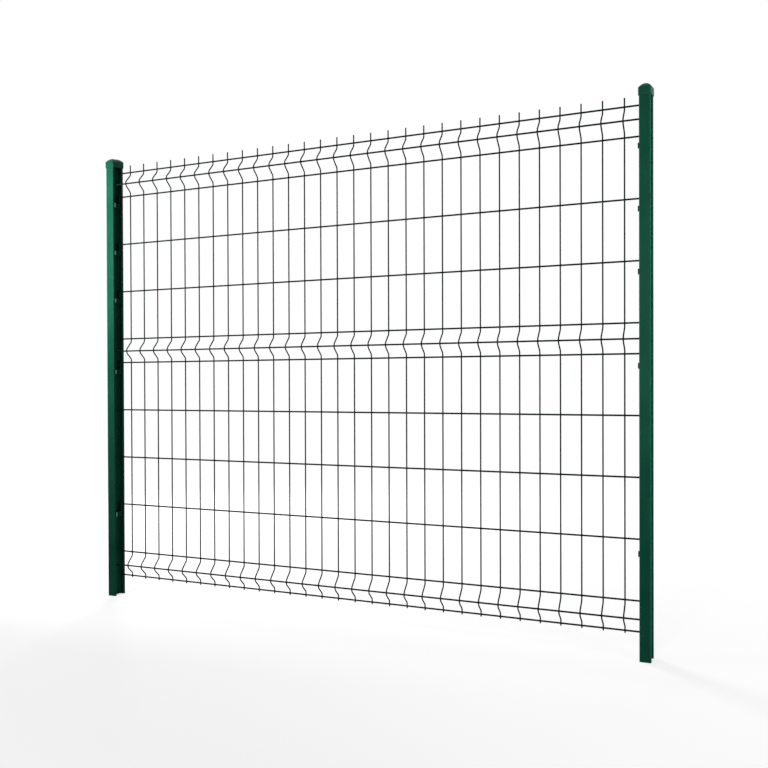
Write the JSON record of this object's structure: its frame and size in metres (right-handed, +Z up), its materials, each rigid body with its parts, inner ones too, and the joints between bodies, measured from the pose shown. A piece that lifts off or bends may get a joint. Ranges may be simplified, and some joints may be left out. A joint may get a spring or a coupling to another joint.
{
  "type": "welded mesh fence bay",
  "caption": "Rigid fence panel of welded upright and cross wires with three stiffening folds, held by its edges in the grooves of capped steel posts.",
  "frame": {"origin": "middle of the left post's foot, at ground level", "axes": "+X along the fence from the left post to the right post, +Y through the fence away from the folds, +Z up"},
  "size_m": [2.2162, 0.0692, 1.844],
  "materials": {
    "post_coating": "satin powder coat",
    "wire_coating": "satin powder coat",
    "cap_plastic": "moulded, weathered",
    "clip_plastic": "moulded, satin"
  },
  "bodies": {
    "root": {"left_post": "post_coating", "right_post": "post_coating", "left_cap": "cap_plastic", "right_cap": "cap_plastic", "top_fold": "wire_coating", "upper_mesh": "wire_coating", "middle_fold": "wire_coating", "lower_mesh": "wire_coating", "bottom_fold": "wire_coating", "left_clip_1": "clip_plastic", "left_clip_2": "clip_plastic", "left_clip_3": "clip_plastic", "left_clip_4": "clip_plastic", "left_clip_5": "clip_plastic", "right_clip_1": "clip_plastic", "right_clip_2": "clip_plastic", "right_clip_3": "clip_plastic", "right_clip_4": "clip_plastic", "right_clip_5": "clip_plastic"}
  },
  "joints": []
}
